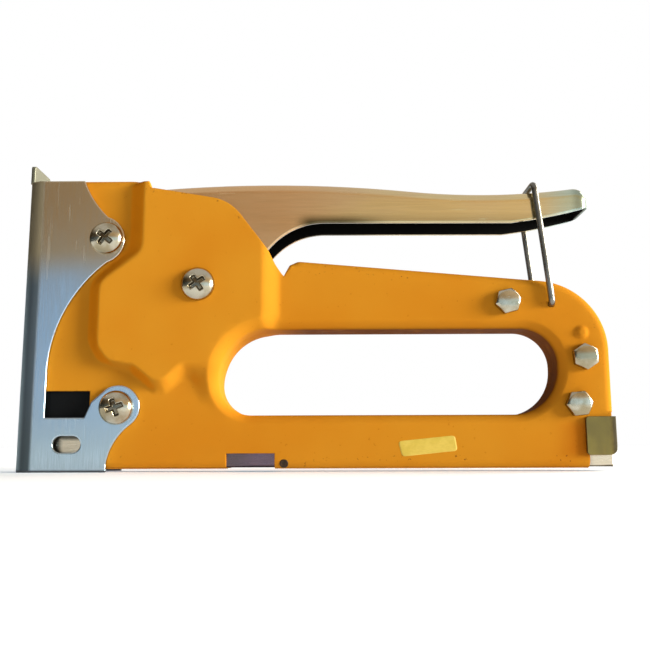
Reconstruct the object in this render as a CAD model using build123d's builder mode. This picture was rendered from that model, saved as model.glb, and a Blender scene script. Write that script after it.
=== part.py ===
from build123d import *
import math
import os

os.makedirs("parts", exist_ok=True)

# Hand staple tacker. Millimetres. X runs from the nose to the rear, Y across, Z up.
# The origin is the middle of the footprint, on the resting face. The near side is -Y.

# Sheets and widths
sheet = 1.2                     # pressed steel of the shells
body_width = 16.0               # over the flat sides of both shells
boss_rise = 3.8                 # how far the raised boss stands out of the flat side
boss_slope = 30.0               # lean of the boss's sides, degrees
boss_corner = 2.4               # rounded corners of its foot
boss_front_x = -67.3            # the foot's front, neck, rear and lower edges
boss_neck_x = -52.0
boss_rear_x = -9.0
boss_low_z = 20.6
rim_round = 2.8                 # rounded outer rim of the shells
hole_round = 2.0                # rounded rim of the finger hole
nose_sheet = 1.2
nose_bend = 4.5                 # outer bend of the nose channel
handle_inset = 0.3              # each side of the handle, inside the flat sides of the shells
handle_sheet = 1.2
handle_bend = 3.0
handle_front_x = -47.6
handle_front_z = 87.8           # top line: front end, crest, sway and tail
handle_crest = (-8.0, 89.0)
handle_sway = (30.0, 86.7)
handle_tail = (80.6, 87.2)
handle_rear_x = 85.2
tail_drop = 4.4                 # rounded end of the tail, down from the top line
tail_depth = 6.5                # end of the lower edge under the top line
grip_low_z = 75.9               # lower edge of the grip
throat_at = (-13.2, 69.0)       # front end of the lower edge
seam_gap = 0.1                  # between the two shells at the middle plane
fit_gap = 0.1                   # between pieces that lie against each other
slide_gap = 0.2                 # between pieces that slide
run_gap = 0.05                  # radial, of a pin that turns

half_width = body_width / 2
inner_half = half_width - sheet
boss_half = half_width + boss_rise
boss_inner = boss_half - sheet
nose_inner = half_width + fit_gap
nose_outer = nose_inner + nose_sheet
handle_half = half_width - handle_inset

# Ends and heights
nose_x = -89.6                  # front face of the nose
rear_x = 89.2                   # rear edge of the shells
shell_front_x = -83.0           # front edge of the shells, under the nose channel
shell_foot_x = -67.6            # front end of the shells' lower bar
window_top_z = 24.4             # lower front edge of the shells
roof_z = 90.4
roof_end_x = -54.6              # the roof ends here, and the boss's walls go on beside the handle
wall_top_z = 88.1               # top of those walls, down to the crest
crest_high = (-49.2, 86.1)      # sloping edge of the boss's open top
crest_corner = (-26.0, 82.2)
crest_low = (-14.0, 66.4)
crest_round = 14.0
vee_at = (-9.7, 59.0)           # bottom of the notch between the upper bar and the boss
vee_round = 1.2
bar_front_z = 64.2              # top of the upper bar at its front end
bar_rear_z = 56.0               # where that line would meet the rear edge
rear_corner = 21.6
tongue_top_z = 95.5
tongue_width = 13.0
tongue_round = 0.8
nose_depth = 50.0               # length of the bent sheet that the nose is cut from
nose_step = 0.95                # top of the nose under the roof
flange = 9.0                    # narrow stretch of the nose's sides
foot_x = -61.8                  # rear end of the nose's foot
foot_rise = 2.5
slot_at = (-73.6, 8.2)          # slot in the nose's sides
slot_length = 8.4
slot_height = 5.0

# Finger hole
hole_front_x = -28.8
hole_rear_x = 73.6
hole_low_z = 16.7
hole_top_z = 42.8
hole_front_top_round = 15.5
hole_front_low_round = 10.0
hole_rear_top_round = 9.0
hole_rear_low_round = 14.0

# Screws: places on the side view
upper_nose_at = (-64.1, 70.9)
lower_nose_at = (-59.2, 19.0)
pivot_at = (-35.2, 55.9)
rear_upper_at = (58.6, 50.8)
rear_middle_at = (81.1, 33.8)
rear_lower_at = (78.5, 19.8)
front_shank = 5.0
front_head = 10.2
front_head_height = 3.0
head_edge = 0.8                 # straight edge of a pan head, under its crown
recess_span = 5.4
recess_wide = 1.1
recess_deep = 1.3
front_nut = 8.0                 # across flats
nut_height = 2.5
shank_past = 0.5                # end of a screw past its nut
rear_shank = 4.0
rear_head = 7.0                 # across flats
rear_head_height = 2.8
hole_gap = 0.2                  # radial, of a screw in its hole
spacer_wall = 0.8
sleeve_wall = 1.5

# Lock wire
wire = 1.9
wire_at = (71.9, 50.0)
bar_rise = 2.4                  # middle of the cross bar above the handle's tail
wire_lean = 6.0                 # forward lean at rest, degrees
wire_half = half_width + 0.45 + wire / 2
wire_bend = 2.5
pip_at = (80.6, 41.3)
pip_radius = 2.1
pip_height = 0.9

# Magazine
lip = 5.0                       # turned-in lower rim of the shells
mag_wall = 0.9
mag_top_z = 15.3
mag_rear_x = 88.3
mag_lip = 2.5
rail_top_z = 9.0
rod = 2.4
rod_z = 11.8
rod_head = 3.6
rod_head_length = 1.2
pusher_length = 14.0
pusher_skirt = 0.45
pusher_gap = 0.15               # each side of the pusher in the magazine
catch_sheet = 1.0
catch_x = 89.6                  # rear face of the catch
catch_front_x = 80.2
catch_low_z = 4.7
catch_top_z = 16.0
catch_gap = 0.25
catch_corner = 3.0
notch_front_x = -26.4
notch_rear_x = -12.0
notch_top_z = 5.4
pit_at = (-9.4, 2.6)            # small round hole behind the notch
pit_radius = 1.6

mag_half = inner_half - fit_gap
mag_low_z = sheet + fit_gap
mag_inner = mag_half - mag_wall
mag_floor_z = mag_low_z + mag_wall
pusher_half = mag_inner - pusher_gap
rail_half = pusher_half - pusher_skirt - slide_gap

# Drive
blade = 1.0
blade_past = 0.5                # each side of the blade past the rail
blade_low_z = 11.0
striker_rear_x = -70.5
striker_gap = 0.8               # each side of the striker in the shells
striker_low_z = 44.0
striker_top_z = 62.0
tip_at = (-76.5, 52.5)
tip_radius = 2.6
lever_half = 3.0
hub_radius = 7.0
tail_low_z = 72.0
tail_height = 8.0
tail_front_x = -40.0
tail_rear_x = -26.0
rivet = 4.0
rivet_head = 6.4
rivet_head_height = 0.8
rivet_inset = 3.0
spring_x = -78.8
spring_wire = 1.6
spring_mean = 5.0
spring_turns = 7
cap_height = 3.5
cap_pin = 3.5
cap_pin_length = 8.0
block_top_z = 26.5
block_lug_z = 23.8
block_rear_x = -53.0
block_step_x = -68.0
bumper_height = 6.0
push_wire = 0.5
push_mean = 1.95
push_turns = 36

blade_half = rail_half + blade_past
striker_half = inner_half - striker_gap
blade_front_x = nose_x + nose_sheet + slide_gap + fit_gap
blade_rear_x = blade_front_x + blade
mag_front_x = blade_rear_x + slide_gap
sleeve_outer = front_shank / 2 + hole_gap + sleeve_wall
cap_low_z = roof_z - sheet - fit_gap - cap_height


def save(piece, name):
    """Labels a finished piece and writes its file."""
    piece.part.label = name
    export_step(piece.part, f"parts/{name}.step")


def side_plane(distance):
    """The side view's plane, moved towards the near side by a distance."""
    return Plane.XZ.offset(distance)


def biarc(start, start_way, end, end_way):
    """Joins two points by two arcs that leave and arrive along the given unit directions."""
    across = end - start
    both = start_way + end_way
    spread = 2 * (1 - start_way.dot(end_way))
    along = across.dot(both)
    reach = (-along + math.sqrt(along * along + spread * across.dot(across))) / spread
    middle = (start + end + (start_way - end_way) * reach) * 0.5
    TangentArc(start, middle, tangent=start_way)
    middle_way = across - both * reach
    TangentArc(middle, end, tangent=middle_way.normalized())


def coil_point(origin, axis, first, radius, pitch, turn):
    """A point of a coil and its direction, after a number of turns."""
    second = axis.cross(first)
    angle = 2 * math.pi * turn
    out = first * (radius * math.cos(angle)) + second * (radius * math.sin(angle))
    way = axis.cross(out) + axis * (pitch / 2 / math.pi)
    return origin + out + axis * (pitch * turn), way.normalized()


def coil_lines(origin, axis, first, radius, pitch, turns, steps_a_turn):
    """Draws a coil as biarcs, each a set share of a turn."""
    count = round(turns * steps_a_turn)
    for step in range(count):
        start, start_way = coil_point(origin, axis, first, radius, pitch, turns * step / count)
        end, end_way = coil_point(origin, axis, first, radius, pitch, turns * (step + 1) / count)
        biarc(start, start_way, end, end_way)


def coil_gap(radius, pitch, turns, thick, name):
    """Prints the least gap between neighbouring turns, measured on points of the coil."""
    origin = Vector(0, 0, 0)
    points = []
    samples = 48
    for step in range(int(turns * samples) + 1):
        place, way = coil_point(origin, Vector(0, 0, 1), Vector(1, 0, 0), radius, pitch, step / samples)
        points.append(place)
    least = min(
        (points[i] - points[j]).length
        for i in range(samples)
        for j in range(i + samples // 2, min(i + 2 * samples, len(points)))
    )
    print(f"{name}: least gap between turns {least - thick:.2f} mm")


def finger_hole(grow):
    """The finger hole's outline, grown by a margin."""
    with BuildSketch() as hole:
        with Locations(((hole_front_x + hole_rear_x) / 2, (hole_low_z + hole_top_z) / 2)):
            Rectangle(hole_rear_x - hole_front_x, hole_top_z - hole_low_z)
        corners = [(hole_front_x, hole_low_z, hole_front_low_round),
                   (hole_front_x, hole_top_z, hole_front_top_round),
                   (hole_rear_x, hole_low_z, hole_rear_low_round),
                   (hole_rear_x, hole_top_z, hole_rear_top_round)]
        for x, z, radius in corners:
            fillet(hole.vertices().sort_by_distance((x, z))[0], radius)
        if grow:
            offset(amount=grow)
    return hole.sketch


def boss_outline(shrink):
    """The foot of the raised boss, drawn in by a margin."""
    ring = hole_front_top_round + hole_round + 0.5
    ring_x = hole_front_x + hole_front_top_round
    ring_z = hole_top_z - hole_front_top_round
    bends = [(boss_rear_x, 48.0), (boss_neck_x, 73.0), (boss_front_x, 55.0),
             (boss_front_x, 38.0), (boss_front_x + 5.8, 29.2), (boss_neck_x, 27.2),
             (boss_neck_x + 3.5, boss_low_z), (boss_neck_x + 10.0, boss_low_z),
             (boss_neck_x + 13.0, ring_z)]
    above = roof_z + 2.4
    with BuildSketch() as boss:
        with BuildLine():
            Polyline((ring_x, ring_z + ring), bends[0], (boss_rear_x, above), (boss_neck_x, above),
                     *bends[1:], (ring_x - ring, ring_z))
            RadiusArc((ring_x - ring, ring_z), (ring_x, ring_z + ring), ring)
        make_face()
        for bend in bends:
            fillet(boss.vertices().sort_by_distance(bend)[0], boss_corner)
        if shrink:
            offset(amount=-shrink)
    return boss.sketch


# Near shell
bar_front_x = vee_at[0] + 4.3
bar_slope = (bar_front_z - bar_rear_z) / (rear_x - bar_front_x)
catch_clear_z = catch_top_z + 1.4
catch_clear_x = catch_x - catch_sheet - 0.4
corner_cut_x = catch_front_x + 1.0
corner_cut_z = catch_low_z + 0.3

with BuildPart() as near_shell:
    with BuildSketch(side_plane(0)) as side:
        with BuildLine():
            Polyline((shell_front_x, window_top_z), (shell_foot_x, window_top_z), (shell_foot_x, 0),
                     (corner_cut_x, 0), (corner_cut_x, corner_cut_z), (catch_clear_x, corner_cut_z),
                     (catch_clear_x, catch_clear_z), (rear_x, catch_clear_z), (rear_x, bar_rear_z),
                     (bar_front_x, bar_front_z), (vee_at[0] + 2.1, bar_front_z - 1.2), vee_at,
                     (vee_at[0] - 2.4, vee_at[1] + 3.6), crest_low, crest_corner, crest_high,
                     (crest_high[0] - 2.0, wall_top_z), (roof_end_x + 1.2, wall_top_z), (roof_end_x, roof_z),
                     (shell_front_x, roof_z), (shell_front_x, window_top_z))
        make_face()
        rounds = [((rear_x, bar_rear_z), rear_corner), (crest_corner, crest_round), (vee_at, vee_round)]
        for place, radius in rounds:
            fillet(side.vertices().sort_by_distance(place)[0], radius)
    extrude(amount=half_width)
    outer = near_shell.faces().sort_by(Axis.Y)[0]
    bar_middle_x = (bar_front_x + rear_x) / 2
    bend = rear_corner * (1 - math.sqrt(0.5))
    rim_marks = [(0, 0), (rear_x, (catch_clear_z + bar_rear_z) / 2),
                 (rear_x - bend, bar_rear_z - bend + 1.5),
                 (bar_middle_x, bar_front_z - (bar_middle_x - bar_front_x) * bar_slope),
                 ((shell_front_x + roof_end_x) / 2, roof_z)]
    rims = [outer.edges().sort_by_distance((x, -half_width, z))[0] for x, z in rim_marks]
    fillet(rims, rim_round)
    with BuildSketch(side_plane(0)):
        add(finger_hole(0))
    extrude(amount=half_width, mode=Mode.SUBTRACT)
    outer = near_shell.faces().sort_by(Axis.Y)[0]
    fillet(outer.inner_wires()[0].edges(), hole_round)
    with BuildSketch(side_plane(half_width)):
        add(boss_outline(0))
    extrude(amount=boss_rise, taper=boss_slope)
    extrude(side.sketch, amount=boss_half + 1, mode=Mode.INTERSECT)
    # hollow: the sheet is left on the side, the rims and round the finger hole
    with BuildSketch(side_plane(0)) as hollow:
        Polygon((shell_front_x - 1, window_top_z - 1), (shell_foot_x - 1, window_top_z - 1),
                (shell_foot_x - 1, sheet), (rear_x + 5, sheet), (rear_x + 5, catch_clear_z),
                (rear_x - sheet, catch_clear_z), (rear_x - sheet, bar_rear_z - sheet),
                (bar_front_x - 0.8, bar_front_z - sheet), (vee_at[0] + sheet, vee_at[1] - 1.0),
                (vee_at[0], vee_at[1] - 2.6), (vee_at[0], roof_z + 5), (roof_end_x, roof_z + 5),
                (roof_end_x, roof_z - sheet), (shell_front_x - 1, roof_z - sheet), align=None)
        inner_corner = hollow.vertices().sort_by_distance((rear_x - sheet, bar_rear_z - sheet))[0]
        fillet(inner_corner, rear_corner - sheet)
        add(finger_hole(sheet), mode=Mode.SUBTRACT)
    extrude(amount=inner_half, mode=Mode.SUBTRACT)
    with BuildSketch(side_plane(inner_half)):
        add(boss_outline(sheet))
    extrude(amount=boss_rise, taper=boss_slope, mode=Mode.SUBTRACT)
    with BuildSketch(side_plane(0)):
        Polygon((nose_x, -1), (catch_x, -1), (catch_x, sheet), (nose_x, sheet), align=None)
    extrude(amount=half_width - lip, mode=Mode.SUBTRACT)
    with BuildSketch(side_plane(0)):
        Polygon((nose_x, -1), (catch_x, -1), (catch_x, roof_z + 5), (nose_x, roof_z + 5), align=None)
    extrude(amount=seam_gap / 2, mode=Mode.SUBTRACT)
    # notch in the lower rim, pit beside it, screw holes and the lock wire's hole
    with BuildSketch(side_plane(0)):
        Polygon((notch_front_x, -1), (notch_rear_x, -1), (notch_rear_x, notch_top_z),
                (notch_front_x, notch_top_z), align=None)
        with Locations(pit_at):
            Circle(pit_radius)
        with Locations(upper_nose_at, lower_nose_at, pivot_at):
            Circle(front_shank / 2 + hole_gap)
        with Locations(rear_upper_at, rear_middle_at, rear_lower_at):
            Circle(rear_shank / 2 + hole_gap)
        with Locations(wire_at):
            Circle(wire / 2 + run_gap)
    extrude(amount=boss_half + 1, mode=Mode.SUBTRACT)
    with BuildSketch(side_plane(half_width)):
        with Locations(pip_at):
            Circle(pip_radius)
    extrude(amount=pip_height)
    pip_top = (pip_at[0], -half_width - pip_height, pip_at[1])
    fillet(near_shell.faces().sort_by_distance(pip_top)[0].edges(), 0.8 * pip_height)
save(near_shell, "near_shell")

with BuildPart() as far_shell:
    mirror(near_shell.part, about=Plane.XZ)
save(far_shell, "far_shell")

# Nose channel
nose_top_z = roof_z - nose_step
flange_x = nose_x + flange
low_x, low_z = lower_nose_at
up_x, up_z = upper_nose_at
lower_ear = [(low_x + 4.3, low_z - 5.0), (low_x + 6.9, low_z + 0.6), (low_x - 4.1, low_z + 4.7)]
upper_ear = [(up_x + 0.4, up_z - 7.4), (up_x + 5.5, up_z - 0.3), (up_x + 0.2, up_z + 6.8)]
with BuildPart() as nose_channel:
    with BuildSketch(Plane.XY) as plan:
        with Locations((nose_x + nose_depth / 2, 0)):
            Rectangle(nose_depth, 2 * nose_outer)
        fillet(plan.vertices().group_by(Axis.X)[0], nose_bend)
        with BuildSketch(mode=Mode.SUBTRACT) as plan_inside:
            with Locations((nose_x + nose_sheet + nose_depth / 2, 0)):
                Rectangle(nose_depth, 2 * nose_inner)
            fillet(plan_inside.vertices().group_by(Axis.X)[0], nose_bend - nose_sheet)
    extrude(amount=nose_top_z)
    with BuildSketch(side_plane(0)):
        with BuildLine():
            Polyline((nose_x, nose_top_z), (nose_x, 0), (foot_x, 0), (foot_x, foot_rise))
            ThreePointArc((foot_x, foot_rise), (foot_x + 2.7, foot_rise + 7.0), lower_ear[0])
            ThreePointArc(*lower_ear)
            Polyline(lower_ear[2], (low_x - 7.6, low_z + 1.6), (low_x - 9.5, low_z - 3.0),
                     (flange_x, low_z - 3.0), (flange_x, low_z + 12.0))
            ThreePointArc((flange_x, low_z + 12.0), (flange_x + 5.8, up_z - 20.1), upper_ear[0])
            ThreePointArc(*upper_ear)
            ThreePointArc(upper_ear[2], (up_x - 3.8, nose_top_z - 7.1), (up_x - 7.6, nose_top_z))
            Line((up_x - 7.6, nose_top_z), (nose_x, nose_top_z))
        make_face()
        with Locations(upper_nose_at, lower_nose_at):
            Circle(front_shank / 2 + hole_gap, mode=Mode.SUBTRACT)
        with Locations(slot_at):
            SlotOverall(slot_length, slot_height, mode=Mode.SUBTRACT)
    extrude(amount=nose_outer + 1, both=True, mode=Mode.INTERSECT)
    with BuildSketch(Plane.YZ.offset(nose_x)) as tongue:
        with Locations((0, (nose_top_z + tongue_top_z) / 2)):
            Rectangle(tongue_width, tongue_top_z - nose_top_z)
        fillet(tongue.vertices().group_by(Axis.Y)[-1], tongue_round)
    extrude(amount=nose_sheet)
save(nose_channel, "nose_channel")

# Handle
ear_at = pivot_at
sleeve_bore = sleeve_outer + run_gap
tail_mid_z = tail_low_z + tail_height / 2
rivet_places = [(tail_front_x + rivet_inset, tail_mid_z), (tail_rear_x - rivet_inset, tail_mid_z)]


def handle_side(inset):
    """The handle's side view. With an inset it is the space under its top sheet."""
    low = inset * 20
    end_x = handle_rear_x - inset
    drop_z = handle_tail[1] - tail_drop
    end_z = handle_tail[1] - tail_depth - low
    with BuildSketch() as view:
        with BuildLine():
            Line((handle_front_x, throat_at[1] - low), (handle_front_x, handle_front_z - inset))
            crest = ThreePointArc((handle_front_x, handle_front_z - inset),
                                  (handle_crest[0], handle_crest[1] - inset),
                                  (handle_sway[0], handle_sway[1] - inset))
            sway = TangentArc(crest @ 1, (handle_tail[0], handle_tail[1] - inset), tangent=crest % 1)
            TangentArc(sway @ 1, (end_x, drop_z), tangent=sway % 1)
            Line((end_x, drop_z), (end_x, end_z))
            ThreePointArc((end_x, end_z), (73.5, grip_low_z + 2.0 - low), (61.0, grip_low_z - low))
            Line((61.0, grip_low_z - low), (3.5, grip_low_z + 0.2 - low))
            ThreePointArc((3.5, grip_low_z + 0.2 - low), (-5.5, grip_low_z - 1.5 - low),
                          (throat_at[0], throat_at[1] - low))
            Line((throat_at[0], throat_at[1] - low), (handle_front_x, throat_at[1] - low))
        make_face()
    return view.sketch


with BuildPart() as handle:
    with BuildSketch(side_plane(0)) as body_view:
        add(handle_side(0))
    extrude(amount=handle_half, both=True)
    sides = handle.edges().filter_by(lambda edge: abs(abs(edge.center().Y) - handle_half) < 0.01)
    tops = sides.filter_by(lambda edge: edge.center().Z > handle_tail[1] - tail_drop / 2)
    fillet(tops.filter_by(lambda edge: handle_front_x + 2 < edge.center().X), handle_bend)
    with BuildSketch(side_plane(0)):
        with BuildLine():
            Line(throat_at, (ear_at[0] + 6.6, ear_at[1] - 4.3))
            ThreePointArc((ear_at[0] + 6.6, ear_at[1] - 4.3), (ear_at[0] - 2.3, ear_at[1] - 7.7),
                          (handle_front_x, ear_at[1]))
            Polyline((handle_front_x, ear_at[1]), (handle_front_x, throat_at[1] + 0.5),
                     (throat_at[0], throat_at[1] + 0.5), throat_at)
        make_face()
    extrude(amount=handle_half, both=True)
    with BuildSketch(side_plane(0)):
        add(handle_side(handle_sheet))
        Polygon((-60, 40), (-5, 40), (-5, 74), (-60, 74), align=None)
    extrude(amount=handle_half - handle_sheet, both=True, mode=Mode.SUBTRACT)
    with BuildSketch(side_plane(0)):
        with Locations(pivot_at):
            Circle(sleeve_bore)
        with Locations(rivet_places):
            Circle(rivet / 2 + run_gap)
    extrude(amount=handle_half + 1, both=True, mode=Mode.SUBTRACT)
save(handle, "handle")

# Lift lever, a bell crank between the handle's walls
tail_half = handle_half - handle_sheet - fit_gap

with BuildPart() as lift_lever:
    with BuildSketch(side_plane(0)):
        with Locations(pivot_at):
            Circle(hub_radius)
        with Locations(tip_at):
            Circle(tip_radius)
        make_hull()
        Polygon((pivot_at[0] - 5.5, pivot_at[1]), (pivot_at[0] + 5.5, pivot_at[1]),
                (tail_rear_x - 3.5, tail_mid_z), (tail_front_x + 1, tail_mid_z), align=None)
    extrude(amount=lever_half, both=True)
    with BuildSketch(side_plane(0)) as tail:
        with Locations(((tail_front_x + tail_rear_x) / 2, tail_mid_z)):
            Rectangle(tail_rear_x - tail_front_x, tail_height)
        fillet(tail.vertices(), 2.0)
    extrude(amount=tail_half, both=True)
    with BuildSketch(side_plane(0)):
        with Locations(pivot_at):
            Circle(sleeve_bore)
        with Locations(rivet_places):
            Circle(rivet / 2 + run_gap)
    extrude(amount=tail_half + 1, both=True, mode=Mode.SUBTRACT)
save(lift_lever, "lift_lever")

with BuildPart() as lever_rivets:
    with BuildSketch(side_plane(0)):
        with Locations(rivet_places):
            Circle(rivet / 2)
    extrude(amount=handle_half + rivet_head_height, both=True)
    for side_sign in (1, -1):
        with BuildSketch(side_plane(side_sign * handle_half)):
            with Locations(rivet_places):
                Circle(rivet_head / 2)
        extrude(amount=side_sign * rivet_head_height)
save(lever_rivets, "lever_rivets")

with BuildPart() as pivot_sleeve:
    with BuildSketch(side_plane(0)):
        with Locations(pivot_at):
            Circle(sleeve_outer)
            Circle(front_shank / 2 + hole_gap, mode=Mode.SUBTRACT)
    extrude(amount=boss_inner - fit_gap, both=True)
save(pivot_sleeve, "pivot_sleeve")

# Front screws with cross recesses, and their nuts
front_screws = [("upper_nose", upper_nose_at, nose_outer), ("lower_nose", lower_nose_at, nose_outer),
                ("pivot", pivot_at, boss_half)]
for name, place, seat in front_screws:
    with BuildPart() as screw:
        with BuildSketch(side_plane(seat)):
            with Locations(place):
                Circle(front_head / 2)
        extrude(amount=front_head_height)
        fillet(screw.faces().sort_by(Axis.Y)[0].edges(), front_head_height - head_edge)
        with BuildSketch(side_plane(seat + front_head_height)):
            with Locations(place):
                Rectangle(recess_span, recess_wide)
                Rectangle(recess_wide, recess_span)
        extrude(amount=-recess_deep, mode=Mode.SUBTRACT)
        with BuildSketch(side_plane(seat)):
            with Locations(place):
                Circle(front_shank / 2)
        extrude(amount=-(2 * seat + nut_height + shank_past))
    save(screw, f"{name}_screw")
    with BuildPart() as nut:
        with BuildSketch(side_plane(-seat)):
            with Locations(place):
                RegularPolygon(front_nut / 2, 6, major_radius=False)
                Circle(front_shank / 2 + run_gap, mode=Mode.SUBTRACT)
        extrude(amount=-nut_height)
    save(nut, f"{name}_nut")

# Rear screws with hex heads, and their nuts
rear_screws = [("rear_upper", rear_upper_at), ("rear_middle", rear_middle_at),
               ("rear_lower", rear_lower_at)]
for name, place in rear_screws:
    with BuildPart() as screw:
        with BuildSketch(side_plane(half_width)):
            with Locations(place):
                RegularPolygon(rear_head / 2, 6, major_radius=False)
        extrude(amount=rear_head_height)
        chamfer(screw.faces().sort_by(Axis.Y)[0].edges(), 0.4)
        with BuildSketch(side_plane(half_width)):
            with Locations(place):
                Circle(rear_shank / 2)
        extrude(amount=-(body_width + nut_height + shank_past))
    save(screw, f"{name}_screw")
    with BuildPart() as nut:
        with BuildSketch(side_plane(-half_width)):
            with Locations(place):
                RegularPolygon(rear_head / 2, 6, major_radius=False)
                Circle(rear_shank / 2 + run_gap, mode=Mode.SUBTRACT)
        extrude(amount=-nut_height)
    save(nut, f"{name}_nut")

# Spacers between the flat sides of the shells
spacers = [("upper_nose", upper_nose_at, front_shank), ("lower_nose", lower_nose_at, front_shank)]
spacers += [(name, place, rear_shank) for name, place in rear_screws]
for name, place, shank in spacers:
    with BuildPart() as spacer:
        with BuildSketch(side_plane(0)):
            with Locations(place):
                Circle(shank / 2 + hole_gap + spacer_wall)
                Circle(shank / 2 + hole_gap, mode=Mode.SUBTRACT)
        extrude(amount=inner_half - fit_gap / 2, both=True)
    save(spacer, f"{name}_spacer")

# Lock wire
lean = math.radians(wire_lean)
wire_reach = (handle_tail[1] + bar_rise - wire_at[1]) / math.cos(lean)
wire_normal = (math.cos(lean), 0, math.sin(lean))
wire_plane = Plane(origin=(wire_at[0], 0, wire_at[1]), x_dir=(0, 1, 0), z_dir=wire_normal)
foot_bend = wire_half - half_width - fit_gap
with BuildPart() as lock_wire:
    with BuildLine(wire_plane) as bail:
        Line((-inner_half + 0.8, 0), (-wire_half + foot_bend, 0))
        RadiusArc((-wire_half + foot_bend, 0), (-wire_half, foot_bend), foot_bend)
        Line((-wire_half, foot_bend), (-wire_half, wire_reach - wire_bend))
        RadiusArc((-wire_half, wire_reach - wire_bend), (-wire_half + wire_bend, wire_reach), wire_bend)
        Line((-wire_half + wire_bend, wire_reach), (wire_half - wire_bend, wire_reach))
        RadiusArc((wire_half - wire_bend, wire_reach), (wire_half, wire_reach - wire_bend), wire_bend)
        Line((wire_half, wire_reach - wire_bend), (wire_half, foot_bend))
        RadiusArc((wire_half, foot_bend), (wire_half - foot_bend, 0), foot_bend)
        Line((wire_half - foot_bend, 0), (inner_half - 0.8, 0))
    with BuildSketch(Plane(origin=bail.line @ 0, z_dir=bail.line % 0)):
        Circle(wire / 2)
    sweep(path=bail.line)
save(lock_wire, "lock_wire")

# Magazine
with BuildPart() as magazine_channel:
    with BuildSketch(Plane.YZ.offset(mag_front_x)):
        with Locations((0, (mag_low_z + mag_top_z) / 2)):
            Rectangle(2 * mag_half, mag_top_z - mag_low_z)
            Rectangle(2 * mag_inner, mag_top_z - mag_low_z - 2 * mag_wall, mode=Mode.SUBTRACT)
        with Locations((0, mag_top_z)):
            Rectangle(2 * (mag_half - mag_lip), 4 * mag_wall, mode=Mode.SUBTRACT)
    extrude(amount=mag_rear_x - mag_front_x)
save(magazine_channel, "magazine_channel")

with BuildPart() as staple_rail:
    with BuildSketch(Plane.YZ.offset(mag_front_x)):
        with Locations((0, (mag_floor_z + rail_top_z) / 2)):
            Rectangle(2 * rail_half, rail_top_z - mag_floor_z)
        with Locations((0, (mag_floor_z + rail_top_z) / 2 - mag_wall)):
            Rectangle(2 * (rail_half - mag_wall), rail_top_z - mag_floor_z, mode=Mode.SUBTRACT)
    extrude(amount=mag_rear_x - mag_front_x - 2)
save(staple_rail, "staple_rail")

pusher_front_x = mag_front_x + fit_gap
pusher_rear_x = pusher_front_x + pusher_length
head_rear_x = pusher_front_x + 2 * rod_head_length - fit_gap / 2
with BuildPart() as pusher:
    with BuildSketch(Plane.YZ.offset(pusher_front_x)):
        low = mag_floor_z + 1.8
        high = mag_top_z - mag_wall - slide_gap
        with Locations((0, (low + high) / 2)):
            Rectangle(2 * pusher_half, high - low)
        with Locations((0, (low + rail_top_z + slide_gap) / 2)):
            Rectangle(2 * (rail_half + slide_gap), rail_top_z + slide_gap - low, mode=Mode.SUBTRACT)
    extrude(amount=pusher_length)
    with BuildSketch(Plane.YZ.offset(pusher_front_x)):
        with Locations((0, rod_z)):
            Circle(rod / 2 + run_gap)
    extrude(amount=pusher_length, mode=Mode.SUBTRACT)
    with BuildSketch(Plane.YZ.offset(pusher_front_x)):
        with Locations((0, rod_z)):
            Circle(rod_head / 2 + slide_gap)
    extrude(amount=2 * rod_head_length, mode=Mode.SUBTRACT)
save(pusher, "pusher")

with BuildPart() as pusher_rod:
    with BuildSketch(Plane.YZ.offset(head_rear_x)):
        with Locations((0, rod_z)):
            Circle(rod / 2)
    extrude(amount=catch_x - head_rear_x)
    with BuildSketch(Plane.YZ.offset(head_rear_x)):
        with Locations((0, rod_z)):
            Circle(rod_head / 2)
    extrude(amount=-rod_head_length)
save(pusher_rod, "pusher_rod")

# Rear catch, a clip round the rear end
catch_half = half_width + catch_gap + catch_sheet
with BuildPart() as rear_catch:
    with BuildSketch(Plane.XY.offset(catch_low_z)) as clip:
        with Locations(((catch_front_x + catch_x) / 2, 0)):
            Rectangle(catch_x - catch_front_x, 2 * catch_half)
        fillet(clip.vertices().group_by(Axis.X)[-1], 2 * catch_sheet)
        with BuildSketch(mode=Mode.SUBTRACT) as clip_inside:
            with Locations(((catch_front_x + catch_x) / 2 - catch_sheet, 0)):
                Rectangle(catch_x - catch_front_x, 2 * (catch_half - catch_sheet))
            fillet(clip_inside.vertices().group_by(Axis.X)[-1], catch_sheet)
    extrude(amount=catch_top_z - catch_low_z)
    with BuildSketch(side_plane(0)) as tab:
        with Locations(((catch_front_x + catch_x) / 2, (catch_low_z + catch_top_z) / 2)):
            Rectangle(catch_x - catch_front_x, catch_top_z - catch_low_z)
        fillet(tab.vertices().group_by(Axis.X)[0], 1.0)
        fillet(tab.vertices().sort_by_distance((catch_x, catch_low_z))[0], catch_corner)
    extrude(amount=catch_half + 1, both=True, mode=Mode.INTERSECT)
    with BuildSketch(Plane.YZ.offset(catch_x + 1)):
        with Locations((0, rod_z)):
            Circle(rod / 2 + run_gap)
    extrude(amount=-catch_sheet - 2, mode=Mode.SUBTRACT)
save(rear_catch, "rear_catch")

# Drive: blade, striker, guide block, bumper and spring cap
hook_low_z = striker_low_z + 3
hook_high_z = striker_low_z + 9
hook_half = 3.0
with BuildPart() as driver_blade:
    with BuildSketch(Plane.YZ.offset(blade_front_x)):
        with Locations((0, (blade_low_z + striker_top_z - 1) / 2)):
            Rectangle(2 * blade_half, striker_top_z - 1 - blade_low_z)
        with Locations((0, (hook_low_z + hook_high_z) / 2)):
            Rectangle(2 * (hook_half + fit_gap), hook_high_z - hook_low_z + 2 * fit_gap, mode=Mode.SUBTRACT)
    extrude(amount=blade)
save(driver_blade, "driver_blade")

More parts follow.
